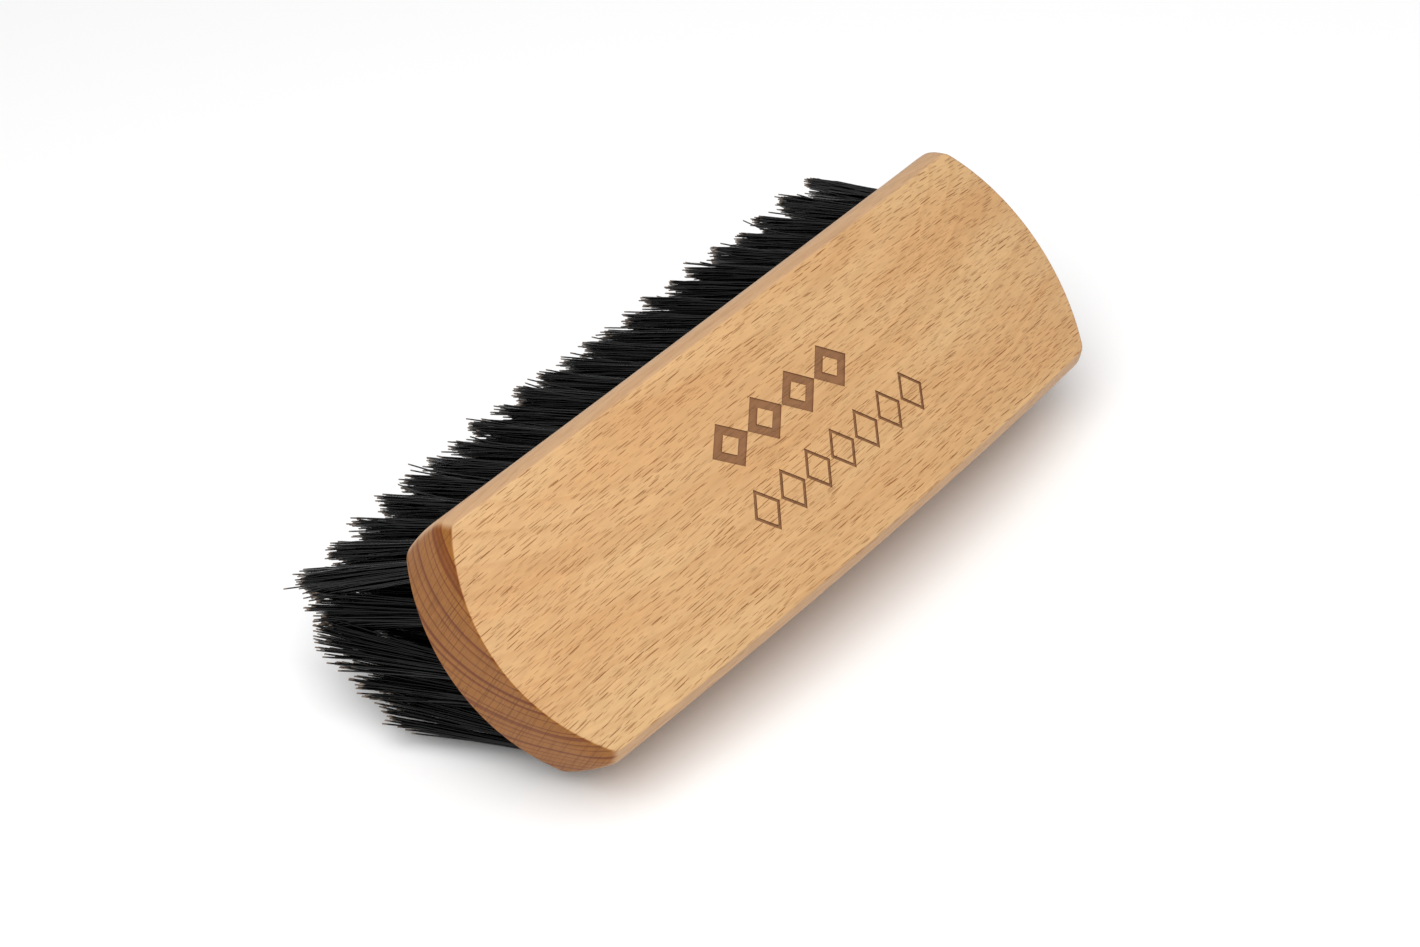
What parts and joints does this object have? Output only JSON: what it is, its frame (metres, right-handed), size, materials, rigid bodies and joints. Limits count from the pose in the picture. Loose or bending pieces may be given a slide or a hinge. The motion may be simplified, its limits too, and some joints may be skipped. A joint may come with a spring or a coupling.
{
  "type": "clothes brush",
  "caption": "Hand brush with an arched solid beech block, rounded ends and a dense field of coarse black bristle tufts set in drilled holes.",
  "frame": {"origin": "centre of the bristle tips' plane, under the middle of the block", "axes": "+X along the block, +Y across it, +Z from the bristle tips up to the block's arched top"},
  "size_m": [0.178, 0.065, 0.061],
  "materials": {
    "block": "oiled beech, satin",
    "bristles": "black bristle, slight sheen"
  },
  "bodies": {
    "root": {"handle_block": "block", "tuft_left_01": "bristles", "tuft_left_02": "bristles", "tuft_left_03": "bristles", "tuft_left_04": "bristles", "tuft_left_05": "bristles", "tuft_left_06": "bristles", "tuft_left_07": "bristles", "tuft_left_08": "bristles", "tuft_left_09": "bristles", "tuft_left_10": "bristles", "tuft_left_11": "bristles", "tuft_left_12": "bristles", "tuft_left_13": "bristles", "tuft_left_14": "bristles", "tuft_left_15": "bristles", "tuft_left_16": "bristles", "tuft_left_17": "bristles", "tuft_left_18": "bristles", "tuft_left_19": "bristles", "tuft_left_20": "bristles", "tuft_left_21": "bristles", "tuft_left_22": "bristles", "tuft_left_23": "bristles", "tuft_right_01": "bristles", "tuft_right_02": "bristles", "tuft_right_03": "bristles", "tuft_right_04": "bristles", "tuft_right_05": "bristles", "tuft_right_06": "bristles", "tuft_right_07": "bristles", "tuft_right_08": "bristles", "tuft_right_09": "bristles", "tuft_right_10": "bristles", "tuft_right_11": "bristles", "tuft_right_12": "bristles", "tuft_right_13": "bristles", "tuft_right_14": "bristles", "tuft_right_15": "bristles", "tuft_right_16": "bristles", "tuft_right_17": "bristles", "tuft_right_18": "bristles", "tuft_right_19": "bristles", "tuft_right_20": "bristles", "tuft_right_21": "bristles", "tuft_right_22": "bristles", "tuft_right_23": "bristles", "tuft_row_2": "bristles", "tuft_row_3": "bristles", "tuft_row_4": "bristles"}
  },
  "joints": []
}
